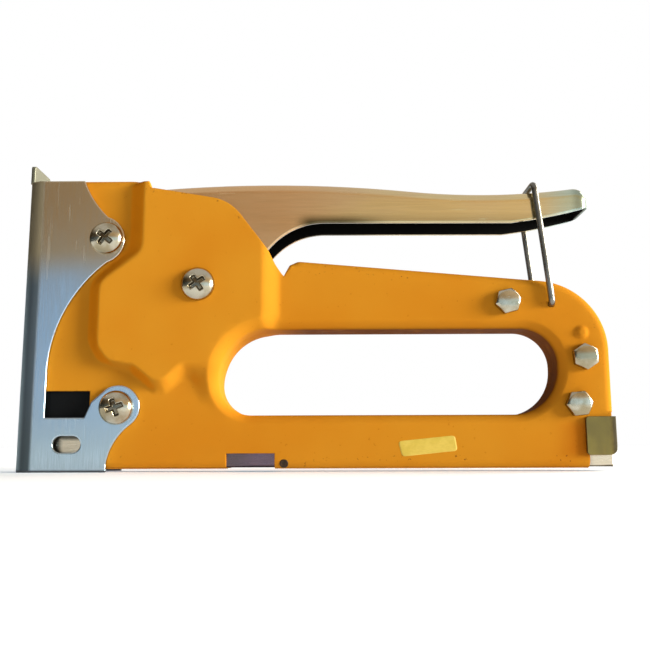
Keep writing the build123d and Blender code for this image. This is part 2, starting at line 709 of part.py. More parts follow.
with BuildPart() as striker:
    with BuildSketch(side_plane(0)):
        Polygon((blade_rear_x, striker_low_z), (striker_rear_x, striker_low_z),
                (striker_rear_x, striker_top_z), (blade_rear_x, striker_top_z), align=None)
    extrude(amount=striker_half, both=True)
    with BuildSketch(side_plane(0)):
        Polygon((blade_front_x, hook_low_z), (blade_rear_x + 0.1, hook_low_z),
                (blade_rear_x + 0.1, hook_high_z), (blade_front_x, hook_high_z), align=None)
    extrude(amount=hook_half, both=True)
    # pocket for the lever's tip, flared to the rear for the lever's tilt
    pocket = tip_radius + 0.3
    with BuildSketch(side_plane(0)):
        Polygon((tip_at[0] - pocket, tip_at[1] - pocket), (tip_at[0], tip_at[1] - pocket),
                (striker_rear_x + 1, tip_at[1] - pocket - 1.8),
                (striker_rear_x + 1, tip_at[1] + pocket + 1.2), (tip_at[0], tip_at[1] + pocket),
                (tip_at[0] - pocket, tip_at[1] + pocket), align=None)
    extrude(amount=lever_half + 0.4, both=True, mode=Mode.SUBTRACT)
    with BuildSketch(Plane.XY.offset(striker_top_z)):
        with Locations((spring_x, 0)):
            Circle(spring_mean - spring_wire / 2 - 0.5)
    extrude(amount=2)
save(striker, "striker")

block_half = inner_half - fit_gap
block_low_z = mag_top_z + fit_gap
spacer_clear = front_shank / 2 + hole_gap + spacer_wall + fit_gap
with BuildPart() as guide_block:
    with BuildSketch(side_plane(0)):
        Polygon((mag_front_x, block_low_z), (block_rear_x, block_low_z), (block_rear_x, block_lug_z),
                (block_step_x, block_lug_z), (block_step_x, block_top_z), (mag_front_x, block_top_z),
                align=None)
        with Locations(lower_nose_at):
            Circle(spacer_clear, mode=Mode.SUBTRACT)
        with Locations((lower_nose_at[0], block_low_z)):
            Rectangle(2 * spacer_clear, 2 * (lower_nose_at[1] - block_low_z), mode=Mode.SUBTRACT)
    extrude(amount=block_half, both=True)
save(guide_block, "guide_block")

with BuildPart() as bumper:
    with BuildSketch(side_plane(0)) as pad:
        Polygon((mag_front_x + 1, block_top_z), (block_step_x - 1, block_top_z),
                (block_step_x - 1, block_top_z + bumper_height),
                (mag_front_x + 1, block_top_z + bumper_height), align=None)
        fillet(pad.vertices().group_by(Axis.Y)[-1], 1.5)
    extrude(amount=block_half - 0.5, both=True)
save(bumper, "bumper")

with BuildPart() as spring_cap:
    with BuildSketch(Plane.XY.offset(cap_low_z)):
        with Locations((spring_x, 0)):
            Rectangle(2 * (spring_mean + spring_wire), 2 * (inner_half - 0.3))
    extrude(amount=cap_height)
    with BuildSketch(Plane.XY.offset(cap_low_z)):
        with Locations((spring_x, 0)):
            Circle(cap_pin)
    extrude(amount=-cap_pin_length)
save(spring_cap, "spring_cap")

# Coil springs
spring_low = striker_top_z + spring_wire / 2 + fit_gap / 2
spring_pitch = (cap_low_z - fit_gap / 2 - spring_wire / 2 - spring_low) / spring_turns
with BuildPart() as main_spring:
    with BuildLine() as coil:
        coil_lines(Vector(spring_x, 0, spring_low), Vector(0, 0, 1), Vector(1, 0, 0), spring_mean,
                   spring_pitch, spring_turns, 4)
    with BuildSketch(Plane(origin=coil.line @ 0, z_dir=coil.line % 0)):
        Circle(spring_wire / 2)
    sweep(path=coil.wires()[0])
save(main_spring, "main_spring")
coil_gap(spring_mean, spring_pitch, spring_turns, spring_wire, "main_spring")

push_front = pusher_rear_x + push_wire / 2 + fit_gap / 2
push_pitch = (catch_x - catch_sheet - fit_gap / 2 - push_wire / 2 - push_front) / push_turns
with BuildPart() as pusher_spring:
    with BuildLine() as coil:
        coil_lines(Vector(push_front, 0, rod_z), Vector(1, 0, 0), Vector(0, 0, 1), push_mean, push_pitch,
                   push_turns, 2)
    with BuildSketch(Plane(origin=coil.line @ 0, z_dir=coil.line % 0)):
        Circle(push_wire / 2)
    sweep(path=coil.wires()[0])
save(pusher_spring, "pusher_spring")
coil_gap(push_mean, push_pitch, push_turns, push_wire, "pusher_spring")
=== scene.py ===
# %% [markdown]
# # A staple tacker, dressed for the camera
# The CAD model gives every piece its place and size. This lesson loads it, looks at it from where
# the photographer stood, and gives each surface its finish. X runs from the nose to the rear, Y across
# and Z up, and the near side is -Y. Forms are worked out in millimetres and multiplied by mm, because
# the scene and the finishes count in metres.

import math

import bmesh
import bpy
import numpy as np
from mathutils import Matrix, Vector
from mathutils.geometry import delaunay_2d_cdt


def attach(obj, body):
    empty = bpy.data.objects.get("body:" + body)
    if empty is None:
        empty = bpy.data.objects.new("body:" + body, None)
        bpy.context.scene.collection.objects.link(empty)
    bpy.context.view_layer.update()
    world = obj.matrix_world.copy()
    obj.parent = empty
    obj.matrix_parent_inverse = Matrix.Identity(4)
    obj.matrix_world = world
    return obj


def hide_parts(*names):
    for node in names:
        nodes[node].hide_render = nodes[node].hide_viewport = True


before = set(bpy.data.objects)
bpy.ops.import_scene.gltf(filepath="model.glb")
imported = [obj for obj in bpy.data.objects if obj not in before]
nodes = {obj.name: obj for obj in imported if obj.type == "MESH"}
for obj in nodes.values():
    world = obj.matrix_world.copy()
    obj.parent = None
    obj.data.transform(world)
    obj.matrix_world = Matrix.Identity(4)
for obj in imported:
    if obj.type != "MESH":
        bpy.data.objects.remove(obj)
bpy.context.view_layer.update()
scene = bpy.context.scene
mm = 0.001

# %% [markdown]
# ## Camera
# The straight edges in the photograph fix the camera: it stood close to the near side, a finger's
# breadth above the table, and looked up a little. A close camera shows the far wall of the handle
# under the near one, which a long lens would hide.


# %% Camera
def linked(name, data):
    """Makes an object of a camera, a mesh or a lamp, and puts it into the scene."""
    made = bpy.data.objects.new(name, data)
    scene.collection.objects.link(made)
    return made


stand, field_of_view = (5.35, -242.04, 7.15), 45.24
pan, tilt, roll = 0.55, 98.91, -0.17
camera = linked("camera", bpy.data.cameras.new("camera"))
scene.camera = camera
camera.data.angle = math.radians(field_of_view)
camera.data.clip_start = 0.01
camera.data.clip_end = 60.0
turn = Matrix.Rotation(math.radians(pan), 4, "Z") @ Matrix.Rotation(math.radians(tilt), 4, "X")
turn = turn @ Matrix.Rotation(math.radians(roll), 4, "Z")
camera.matrix_world = Matrix.Translation(Vector(stand) * mm) @ turn
print("camera at", np.round(np.array(camera.location) / mm, 2), "mm")

# %% [markdown]
# ## Grids
# Every new piece is a grid of points: two parameters run along its rows and columns, and numpy works
# out the whole array at once. One helper turns such an array into a mesh, and closes it into a ring where
# the last column meets the first. Another keeps a number for each point, which a finish can read.


# %% Grid helpers
def grid_piece(name, points, close_columns=False):
    """Makes an object from a rows x columns x 3 array of points; each face joins four neighbours."""
    rows, columns = points.shape[:2]
    index = np.arange(rows * columns).reshape(rows, columns)
    if close_columns:
        index = np.hstack([index, index[:, :1]])
    quads = np.stack([index[:-1, :-1], index[:-1, 1:], index[1:, 1:], index[1:, :-1]], axis=-1)
    mesh = bpy.data.meshes.new(name)
    mesh.from_pydata(points.reshape(-1, 3).tolist(), [], quads.reshape(-1, 4).tolist())
    mesh.shade_smooth()
    return linked(name, mesh)


def keep_values(mesh, name, values):
    """Keeps one number for each point of a mesh, under a name."""
    kept = mesh.attributes.new(name, "FLOAT", "POINT").data
    kept.foreach_set("value", values.ravel().astype(np.float32))


def smooth_step(low, high, value):
    """0 below low, 1 above high, and 3t^2 - 2t^3 between them."""
    t = np.clip((value - low) / (high - low), 0, 1)
    return t * t * (3 - 2 * t)


print("grid helpers ready")

# %% [markdown]
# ## Pressed shells
# Each shell is one sheet of steel, pressed into a tray: a flat side, a raised boss with soft slopes, a
# rolled rim and a rolled finger hole. A CAD solid shows its slopes as sharp facets. Here the side view is
# a plan cut into triangles, packed close where the boss slopes, and its height is worked out from the
# distances to the boss's foot and brow. The rims are a profile carried along the edge. Solidify gives the
# sheet its thickness. The first tools draw paths: straight runs, and arcs at their corners.


# %% Paths
def divided(path, step):
    """Cuts each run of a path into equal parts no longer than step."""
    run = np.diff(path, axis=0)
    parts = np.maximum(1, np.ceil(np.linalg.norm(run, axis=1) / step - 1e-6)).astype(int)
    which = np.repeat(np.arange(len(parts)), parts)
    share = (np.arange(parts.sum()) - np.repeat(np.cumsum(parts) - parts, parts)) / parts[which]
    return np.vstack([path[which] + run[which] * share[:, None], path[-1:]])


def rounded(corners, rounds, step, closed=False):
    """Straight runs joined by arcs: at a corner, an arc of its radius touches both runs."""
    corners = np.array(corners, float)
    pieces = []
    for i, here in enumerate(corners):
        radius = rounds.get(i, 0)
        if radius == 0:
            pieces.append(here[None])
            continue
        back = corners[i - 1] - here
        ahead = corners[(i + 1) % len(corners)] - here
        back, ahead = back / np.linalg.norm(back), ahead / np.linalg.norm(ahead)
        half = math.acos(np.clip(back @ ahead, -1, 1)) / 2
        middle = (back + ahead) / np.linalg.norm(back + ahead)
        centre = here + middle * radius / math.sin(half)
        reach = radius / math.tan(half)
        sweep = math.pi - 2 * half
        share = np.linspace(0, 1, max(3, math.ceil(radius * sweep / step)) + 1)[:, None]
        start, end = here + back * reach - centre, here + ahead * reach - centre
        arc = start * np.sin((1 - share) * sweep) + end * np.sin(share * sweep)
        pieces.append(centre + arc / math.sin(sweep))
    if closed:
        pieces.append(pieces[0][:1])
    return divided(np.vstack(pieces), step)


def circle(x, z, radius):
    """A closed ring of points round (x, z)."""
    angle = np.linspace(0, 2 * math.pi, 33)
    return np.stack([x + radius * np.cos(angle), z + radius * np.sin(angle)], axis=-1)


print("path helpers ready")

# %% [markdown]
# Two more tools: normals, along which a rim rolls away from its edge, and distances, which say how far up
# the boss's slope a point lies and which triangles belong to the sheet.


# %% Normals and distances
def inward(path):
    """Unit normals on the left of a path, each from its two neighbours; a closed path goes round."""
    way = np.gradient(path, axis=0)
    if np.allclose(path[0], path[-1]):
        way[0] = way[-1] = (path[1] - path[-2]) / 2
    way /= np.linalg.norm(way, axis=1, keepdims=True)
    return np.stack([-way[:, 1], way[:, 0]], axis=-1)


def reach_inside(points, loops):
    """Distance to the nearest of some closed loops, positive inside by the even-odd rule."""
    start = np.vstack([loop[:-1] for loop in loops])
    run = np.vstack([np.diff(loop, axis=0) for loop in loops])
    gap = points[:, None] - start
    share = np.clip((gap * run).sum(-1) / (run * run).sum(-1), 0, 1)
    distance = np.linalg.norm(gap - share[..., None] * run, axis=-1).min(1)
    level = points[:, 1:] - start[:, 1]
    crosses = (level >= 0) != (points[:, 1:] - (start + run)[:, 1] >= 0)
    rise = np.where(run[:, 1] == 0, 1, run[:, 1])
    left = points[:, :1] < start[:, 0] + level / rise * run[:, 0]
    return np.where((crosses & left).sum(1) % 2 == 1, distance, -distance)


print("distance helpers ready")

# %% [markdown]
# The outline is read off the side view, in millimetres: finger hole, boss, rims and screw holes. Lengths
# across the tool are half widths, counted from its middle plane.

# %% Sizes of a shell
side, sheet, boss_rise = 8.0, 1.2, 3.8
rim_round, thin_round, hole_round, hole_swell = 2.8, 0.4, 2.6, 0.7
seam_y, lip_y, bar_open_y, roof_open_y = 0.05, 3.0, 7.0, 9.5
hole_front, hole_rear, hole_low, hole_high = -29.2, 73.6, 16.7, 42.8
front_x, nose_x, nose_top = -83.0, -67.6, 24.1
notch_front, notch_rear, notch_top = -26.4, -12.0, 5.4
corner_x, catch_x, rear_x, catch_low, catch_top = 81.2, 88.2, 89.2, 5.0, 17.4
low_z, roof_top, roof_fall = 0.9, 90.4, 0.30
bar_end, crest_end = (-9.6, 59.0), (-50.2, 86.4)
pip_place, pip_rise, pip_flat, pip_foot = (80.6, 41.3), 0.9, 0.9, 2.3
front_bore, rear_bore, wire_bore, wire_foot = 2.7, 2.2, 1.0, (71.9, 50.0)
front_places = {"upper_nose_screw": (-64.1, 70.9), "lower_nose_screw": (-59.2, 19.0),
                "pivot_screw": (-35.2, 55.9)}
rear_places = {"rear_upper_screw": (58.6, 50.8), "rear_middle_screw": (81.1, 33.8),
               "rear_lower_screw": (78.5, 19.8)}
print("finger hole", round(hole_rear - hole_front, 1), "x", round(hole_high - hole_low, 1), "mm")

# %% Side view of a shell
path_step, rim_step, outline_step = 1.0, 2.0, 2.5
hole_corners = [(hole_front, hole_low), (hole_rear, hole_low), (hole_rear, hole_high), (hole_front, hole_high)]
hole_edge = rounded(hole_corners, {0: 10.0, 1: 14.0, 2: 11.0, 3: 15.5}, path_step, closed=True)
foot_corners = [(-12.0, 36.0), (-13.0, 42.0), (-10.3, 46.5), (-10.3, 95.0), (-58.6, 95.0), (-58.6, 70.0),
                (-69.9, 58.0), (-69.9, 39.0), (-65.6, 32.2), (-56.4, 29.4), (-50.6, 24.6), (-48.6, 22.4),
                (-44.6, 22.4), (-42.6, 24.2), (-38.2, 28.0), (-35.0, 20.5), (-30.0, 17.0), (-22.0, 17.0)]
foot_rounds = {2: 2.4, 5: 5.0, 6: 8.0, 7: 5.0, 8: 5.0, 9: 4.0, 10: 1.5, 11: 1.5, 12: 1.5, 13: 1.5,
               14: 1.2, 15: 2.0, 16: 3.0}
brow_corners = [(-18.0, 36.0), (-17.0, 42.0), (-16.2, 46.5), (-16.2, 95.0), (-52.0, 95.0), (-52.0, 66.0),
                (-64.9, 56.5), (-64.9, 37.4), (-61.8, 33.2), (-54.2, 32.0), (-48.8, 27.6), (-44.8, 27.6),
                (-39.8, 32.6), (-22.0, 34.5)]
brow_rounds = {2: 1.5, 5: 6.0, 6: 5.0, 7: 4.0, 8: 4.0, 9: 4.0, 10: 2.0, 11: 2.0, 12: 3.0}
boss_foot = rounded(foot_corners, foot_rounds, path_step, closed=True)
boss_brow = rounded(brow_corners, brow_rounds, path_step, closed=True)
low_front = divided(np.array([(nose_x, low_z), (notch_front, low_z)]), rim_step)
low_rear = divided(np.array([(notch_rear, low_z), (corner_x, low_z)]), rim_step)
back_and_bar = rounded([(rear_x, catch_top), (rear_x, 56.0), (-5.4, 64.2), (-7.8, 62.7), bar_end],
                       {1: 21.6, 2: 3.0, 3: 1.2}, path_step)
crest = rounded([bar_end, (-12.1, 62.6), (-14.0, 66.4), (-26.0, 82.2), crest_end], {3: 14.0}, path_step)[1:-1]
print("hole edge", len(hole_edge), "points, boss foot", len(boss_foot))

# %% [markdown]
# A die presses the boss out of the flat side, so the side is a height over the plan. The small pip behind
# the finger hole is pressed with it.


# %% Height of the side
def side_height(points):
    """The boss's rise times a soft step of the way from its foot to its brow, plus a small round pip.

    The way is the distance to the foot over the sum of the distances to both; on the nose side a power
    of it draws the foot out and keeps the brow tight."""
    x, z = points.T
    foot, brow = reach_inside(points, [boss_foot]), reach_inside(points, [boss_brow])
    way = np.where(brow >= 0, 1, np.clip(foot / np.maximum(foot - brow, 1e-6), 0, 1))
    power = 1.3 - 0.3 * smooth_step(-45, -35, x)
    pip = np.hypot(x - pip_place[0], z - pip_place[1])
    return boss_rise * smooth_step(0, 1, way ** power) + pip_rise * (1 - smooth_step(pip_flat, pip_foot, pip))


pivot_height = side_height(np.array([front_places["pivot_screw"]]))[0]
print("the side stands", round(pivot_height, 2), "mm out at the pivot")

# %% [markdown]
# The rims are rolled over a former: the lower ones end in a lip, the others meet the other shell at the
# seam. Where the boss takes over, at the end of the upper bar and at the crest, a rim fades to a thin edge.
# The roof line falls where the side stands out, as a rolled corner does in the side view.


# %% Rims
def rim_strip(path, radius, end, turn=1, power=1.0, rows=10, wall_rows=3):
    """A rolled edge: a quarter circle of the radius from the flat side to the path, then a wall to |y| = end.

    Raising sine and cosine to a power above 1 flattens the quarter circle towards a chamfer."""
    radius = np.broadcast_to(radius, (len(path),))
    base = path + turn * inward(path) * radius[:, None]
    angle = np.radians(np.linspace(90, 0, rows))[:, None]
    level = side + side_height(base)
    out = radius * np.abs(np.cos(angle)) ** power
    down = level - radius * (1 - np.sin(angle) ** power)
    wall = np.linspace(0, 1, wall_rows + 1)[1:, None]
    down = np.vstack([down, down[-1] * (1 - wall) + end * wall])
    out = np.vstack([out, np.repeat(out[-1:], wall_rows, axis=0)])
    flat = base - turn * inward(path) * out[..., None]
    return base, np.stack([flat[..., 0], -down, flat[..., 1]], axis=-1)


def faded(fade, start, end):
    """start where the fade is 0, end where it is 1, and in proportion between them."""
    return start + (end - start) * fade


bar_fade_length, roof_fade_length, roof_from, roof_step = 4.0, 4.5, -51.6, 0.8
under_roof_z, beside_hole = 88.8, 3.0
roof_x = np.concatenate([crest_end[:1], np.arange(-51.0, front_x - 0.1, -roof_step)])
fade_roof = smooth_step(0, roof_fade_length, roof_from - roof_x)
under_roof = np.stack([roof_x, np.full(len(roof_x), under_roof_z)], axis=-1)
roof_out = side_height(under_roof) + (rim_round - thin_round) * (1 - fade_roof)
roof_z = roof_top - roof_fall * roof_out
roof_z[0] = crest_end[1]
roof = np.stack([roof_x, roof_z], axis=-1)
fade_bar = smooth_step(0, bar_fade_length, back_and_bar[:, 0] - bar_end[0])
hole_rise = side_height(hole_edge - beside_hole * inward(hole_edge)) / boss_rise
rims = {
    "front": rim_strip(low_front, rim_round, lip_y),
    "rear": rim_strip(low_rear, rim_round, lip_y),
    "bar": rim_strip(back_and_bar, faded(fade_bar, thin_round, rim_round), faded(fade_bar, bar_open_y, seam_y)),
    "roof": rim_strip(roof, faded(fade_roof, thin_round, rim_round), faded(fade_roof, roof_open_y, seam_y)),
    "hole": rim_strip(hole_edge, hole_round + hole_swell * hole_rise, seam_y, turn=-1, power=1.35),
}
print("rims", {name: strip.shape for name, (_, strip) in rims.items()})

# %% [markdown]
# The plan is what lies between the feet of the rims, less the screw holes. Its triangles are wide on the
# flat and fine on the boss's slope and round the pip, because only those places bend.


# %% Plan of the side
def lattice(low, high, step):
    """Points of a triangular lattice over a box: each second row is shifted by half a step."""
    x, z = np.meshgrid(np.arange(low[0], high[0], step), np.arange(low[1], high[1], step * 0.866))
    x = x + step / 2 * (np.arange(len(x)) % 2)[:, None]
    return np.stack([x.ravel(), z.ravel()], axis=-1)


foot_of = {name: base for name, (base, _) in rims.items()}
outline = np.vstack([
    foot_of["front"], [(notch_front, notch_top), (notch_rear, notch_top)],
    foot_of["rear"], [(corner_x, catch_low), (catch_x, catch_low), (catch_x, catch_top)],
    foot_of["bar"], crest, foot_of["roof"], [(front_x, nose_top), (nose_x, nose_top)], foot_of["front"][:1]])
outline = divided(outline, outline_step)
foot_of["hole"][-1] = foot_of["hole"][0]
loops = [outline, foot_of["hole"], *(circle(*place, front_bore) for place in front_places.values()),
         *(circle(*place, rear_bore) for place in rear_places.values()), circle(*wire_foot, wire_bore)]
slope_step, pip_step, flat_step, slope_margin, edge_gap = 0.66, 0.5, 3.2, 0.8, 0.3
round_boss = lattice((-74, 15), (-4, 92), slope_step)
climbs = reach_inside(round_boss, [boss_foot]) > -slope_margin
climbs &= reach_inside(round_boss, [boss_brow]) < slope_margin
round_pip = lattice((77.5, 38.2), (84, 44.5), pip_step)
filling = np.vstack([round_boss[climbs], round_pip, lattice((-84, 0), (90, 91), flat_step)])
filling = filling[reach_inside(filling, loops) > edge_gap]
print("plan of", len(loops), "loops, filled with", len(filling), "points")

# %% Triangles
points = np.vstack([loop[:-1] for loop in loops] + [filling])
starts = np.cumsum([0] + [len(loop) - 1 for loop in loops])
ties = []
for start, loop in zip(starts, loops):
    number = np.arange(len(loop) - 1)
    ties += np.stack([number + start, (number + 1) % len(number) + start], axis=-1).tolist()
cut = delaunay_2d_cdt(points.tolist(), ties, [], 0, 1e-7)
plan = np.array([tuple(vertex) for vertex in cut[0]])
triangles = np.array(cut[2])
triangles = triangles[reach_inside(plan[triangles].mean(1), loops) > 0]
print("plan cut into", len(triangles), "triangles")

# %% [markdown]
# Plan and rims are welded into one skin, which is thickened inwards like the real sheet. Each point keeps its
# distance from the outline, because paint chips off along edges first.


# %% Welded skin
weld_gap, sliver, crease = 0.02, 0.002, 42


def joined_skin(mirror):
    """The plan at its height and the rims, welded where they meet, with all faces outwards."""
    skin = bmesh.new()
    level = side + side_height(plan)
    parts = [(np.stack([plan[:, 0], -level, plan[:, 1]], axis=-1), triangles)]
    for _, strip in rims.values():
        index = np.arange(strip.shape[0] * strip.shape[1]).reshape(strip.shape[:2])
        quads = np.stack([index[:-1, :-1], index[1:, :-1], index[1:, 1:], index[:-1, 1:]], axis=-1)
        parts.append((strip.reshape(-1, 3), quads.reshape(-1, 4)))
    for corners, faces in parts:
        mesh = bpy.data.meshes.new("part")
        mesh.from_pydata((corners * (1, mirror, 1) * mm).tolist(), [], faces.tolist())
        skin.from_mesh(mesh)
        bpy.data.meshes.remove(mesh)
    bmesh.ops.remove_doubles(skin, verts=skin.verts, dist=weld_gap * mm)
    bmesh.ops.dissolve_degenerate(skin, edges=skin.edges, dist=sliver * mm)
    bmesh.ops.recalc_face_normals(skin, faces=skin.faces)
    facing = sum(face.normal.y * face.calc_area() for face in skin.faces)
    if facing * mirror > 0:
        bmesh.ops.reverse_faces(skin, faces=skin.faces)
    return skin


print("skin helper ready")


# %% Sheet metal
def pressed_shell(name, mirror):
    """Thickens a skin inwards by the sheet, and keeps each point's distance from the outline as edge."""
    skin = joined_skin(mirror)
    mesh = bpy.data.meshes.new(name)
    skin.to_mesh(mesh)
    skin.free()
    piece = linked(name, mesh)
    thick = piece.modifiers.new("sheet", "SOLIDIFY")
    thick.thickness = sheet * mm
    thick.offset = -1
    bpy.context.view_layer.update()
    solid = bpy.data.meshes.new_from_object(piece.evaluated_get(bpy.context.evaluated_depsgraph_get()))
    piece.modifiers.clear()
    piece.data = solid
    solid.shade_smooth()
    solid.set_sharp_from_angle(angle=math.radians(crease))
    places = np.empty(len(solid.vertices) * 3, np.float32)
    solid.vertices.foreach_get("co", places)
    places = places.reshape(-1, 3)[:, ::2] / mm
    near = [np.abs(reach_inside(part, [outline])) for part in np.array_split(places, 12)]
    keep_values(solid, "edge", np.concatenate(near))
    print(name, len(solid.vertices), "vertices,", len(solid.polygons), "faces")
    return piece


shells = {"near_shell": pressed_shell("near_skin", 1), "far_shell": pressed_shell("far_skin", -1)}
for node, piece in shells.items():
    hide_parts(node)
    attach(piece, "base")


# %% [markdown]
# ## Shader maths
# A finish is a sum of patterns, and sums are easier to read as Python than as boxes and wires. This
# class holds one socket; arithmetic on it adds Math nodes, and its node method adds any other node.


# %% Socket wrapper
class Flow:
    """One output socket of a node tree. Operators on it add Math nodes."""

    def __init__(self, tree, socket):
        self.tree = tree
        self.socket = socket

    def node(self, kind, settings=None, sockets=None, output=0):
        """Adds a node: its settings first, then its sockets' values or links."""
        made = self.tree.nodes.new(kind)
        for key, value in (settings or {}).items():
            setattr(made, key, value)
        for key, value in (sockets or {}).items():
            if isinstance(value, Flow):
                self.tree.links.new(value.socket, made.inputs[key])
            else:
                made.inputs[key].default_value = value
        return Flow(self.tree, made.outputs[output]) if made.outputs else None

    def axis(self, number):
        """One coordinate of a place or a direction: 0 along the tool, 1 across it, 2 up."""
        return self.node("ShaderNodeSeparateXYZ", sockets={0: self}, output=number)

    def maths(self, operation, *values):
        """One Math node that works on the values in turn."""
        return self.node("ShaderNodeMath", {"operation": operation}, dict(enumerate(values)))

    def __add__(self, other):
        return self.maths("ADD", self, other)

    def __sub__(self, other):
        return self.maths("SUBTRACT", self, other)

    def __mul__(self, other):
        return self.maths("MULTIPLY", self, other)

    def __rsub__(self, other):
        return self.maths("SUBTRACT", other, self)

    __radd__ = __add__
    __rmul__ = __mul__


print("socket wrapper ready")

# %% [markdown]
# ## Patterns
# Real metal and paint differ from a flat colour in a few ways that repeat: cloudy changes, fine
# specks, scratches drawn out in one direction, and small dents in the surface. Each is one noise on
# Object coordinates, stretched and cut off in its own way. Coats of colour then go over each other, each
# through a mask.


# %% Patterns
def colour(red, green, blue):
    """A screen colour, 0 to 255, as the linear colour that a shader works with."""
    screen = np.array([red, green, blue]) / 255
    linear = np.where(screen <= 0.04045, screen / 12.92, ((screen + 0.055) / 1.055) ** 2.4)
    return (*linear.tolist(), 1.0)


def cloud(place, size, detail=3.0, stretch=(1, 1, 1), turn=(0, 0, 0)):
    """Noise whose cells are about size metres across, drawn out along an axis where stretch is large."""
    scale = [1 / (size * s) for s in stretch]
    mapped = place.node("ShaderNodeMapping", {}, {"Vector": place, "Rotation": turn, "Scale": scale})
    return place.node("ShaderNodeTexNoise", {}, {"Vector": mapped, "Scale": 1.0, "Detail": detail})


def between(value, low, high, start=0.0, end=1.0):
    """start where value is below low, end where it is above high, and a soft ramp between them."""
    sockets = {"Value": value, "From Min": low, "From Max": high, "To Min": start, "To Max": end}
    return value.node("ShaderNodeMapRange", {"interpolation_type": "SMOOTHSTEP"}, sockets)


def span(value, rise, fall):
    """1 between two ramps and 0 outside them; rise and fall each give a ramp's start and end."""
    return between(value, *rise) * (1 - between(value, *fall))


def mix(mask, first, second):
    """The first colour where the mask is 0, the second where it is 1."""
    return mask.node("ShaderNodeMix", {"data_type": "RGBA"}, {0: mask, 6: first, 7: second}, output=2)


def coated(base, *coats):
    """A base colour under some coats, each a mask and a screen colour, the last on top."""
    for mask, tint in coats:
        base = mix(mask, base, colour(*tint))
    return base


print("patterns ready")

# %% [markdown]
# The other helpers begin and end a material, and bend its normals: bumps for relief, and a small radius on
# every edge, since no edge of real sheet is sharp.


# %% Surfaces
def relief(height, depth, normal=None, strength=0.5):
    """Bumps the surface by height times depth metres."""
    sockets = {"Height": height, "Distance": depth, "Strength": strength}
    if normal is not None:
        sockets["Normal"] = normal
    return height.node("ShaderNodeBump", {}, sockets)


def soft_edges(place, radius):
    """Normals averaged over a small radius, as the rounded edges of a real sheet give."""
    return place.node("ShaderNodeBevel", {"samples": 8}, {"Radius": radius})


def kept_value(place, name):
    """The number that a mesh keeps for each point under a name, or 0 where it keeps none."""
    return place.node("ShaderNodeAttribute", {"attribute_name": name}, output="Fac")


def empty_tree(owner, coordinates):
    """Clears the node tree of a material or a world, and starts it with one kind of coordinates."""
    owner.use_nodes = True
    tree = owner.node_tree
    tree.nodes.clear()
    return Flow(tree, tree.nodes.new("ShaderNodeTexCoord").outputs[coordinates])


def new_finish(name):
    """An empty material and its Object coordinates."""
    material = bpy.data.materials.new(name)
    return material, empty_tree(material, "Object")


def close_finish(material, place, sockets):
    """Ends a material with one Principled shader."""
    shader = place.node("ShaderNodeBsdfPrincipled", {}, sockets)
    place.node("ShaderNodeOutputMaterial", {}, {"Surface": shader})
    return material


print("surfaces ready")

# %% [markdown]
# ## Shell paint
# The shells are pressed steel under orange enamel. Enamel is smooth but not perfect: it has a faint
# orange-peel relief, thicker and thinner patches, a few dust nibs, and small chips. Where the boss's slopes and
# other faces in front turn to the nose, it is painted a redder orange: painted shade. The rolled wall inside
# the
# finger hole is painted dark brown: painted shade. The catch's shadow is painted on the corner beside it.


# %% Shell paint
def shell_paint():
    """Two close oranges by a wide noise, under painted shade, nibs, chips and a painted shadow."""
    material, place = new_finish("shell_paint")
    along, across, high = (place.axis(number) for number in range(3))
    turned = place.node("ShaderNodeNewGeometry", output="Normal").axis(0)
    patches = cloud(place, 0.030, 2.0)
    peel = cloud(place, 0.0014, 2.0)
    nibs = between(cloud(place, 0.0012, 1.0), 0.74, 0.78)
    rubbed = 1 - between(kept_value(place, "edge") + cloud(place, 0.004, 3.0) * 6 - 3, 0.0, 2.2)
    handled = between(cloud(place, 0.026, 1.0), 0.54, 0.64)
    chips = between(cloud(place, 0.0010, 2.0), 0.64, 0.68) * rubbed * handled
    # within and in_grip mark the rolled wall inside the finger hole; darkening paints it dark brown: painted
    # shade
    within = 1 - between(across.maths("ABSOLUTE", across), 0.0046, 0.0068)
    in_grip = span(along, (-0.020, 0.000), (0.076, 0.080)) * span(high, (0.012, 0.014), (0.046, 0.050))
    darkening = within * in_grip * between(cloud(place, 0.006, 2.0), 0.2, 0.5, 0.75, 0.92)
    # shaded: a redder orange painted where the surface faces the nose: painted shade
    shaded = (1 - between(turned, -0.5, -0.15)) * (1 - between(along, -0.030, -0.010))
    # the catch's shadow, painted on the corner beside it: painted shadow
    catch_shadow = between(along, 0.068, 0.080) * span(high, (0.0025, 0.006), (0.0125, 0.0165))
    base = mix(between(patches, 0.30, 0.70), colour(192, 123, 29), colour(196, 132, 35))
    base = coated(base, (shaded * 0.7, (212, 122, 8)), (nibs * 0.35, (160, 92, 14)), (darkening, (96, 48, 12)),
                  (chips, (112, 66, 24)), (catch_shadow * 0.6, (178, 92, 14)))
    height = peel * 0.5 + nibs * 0.7 - chips * 1.2
    rough = 0.48 + between(patches, 0.3, 0.7, -0.05, 0.06) + chips * 0.15
    return close_finish(material, place, {
        "Base Color": base, "Roughness": rough, "Specular IOR Level": 0.003,
        "Normal": relief(height, 0.00005, soft_edges(place, 0.0005))})


print("shell paint ready")
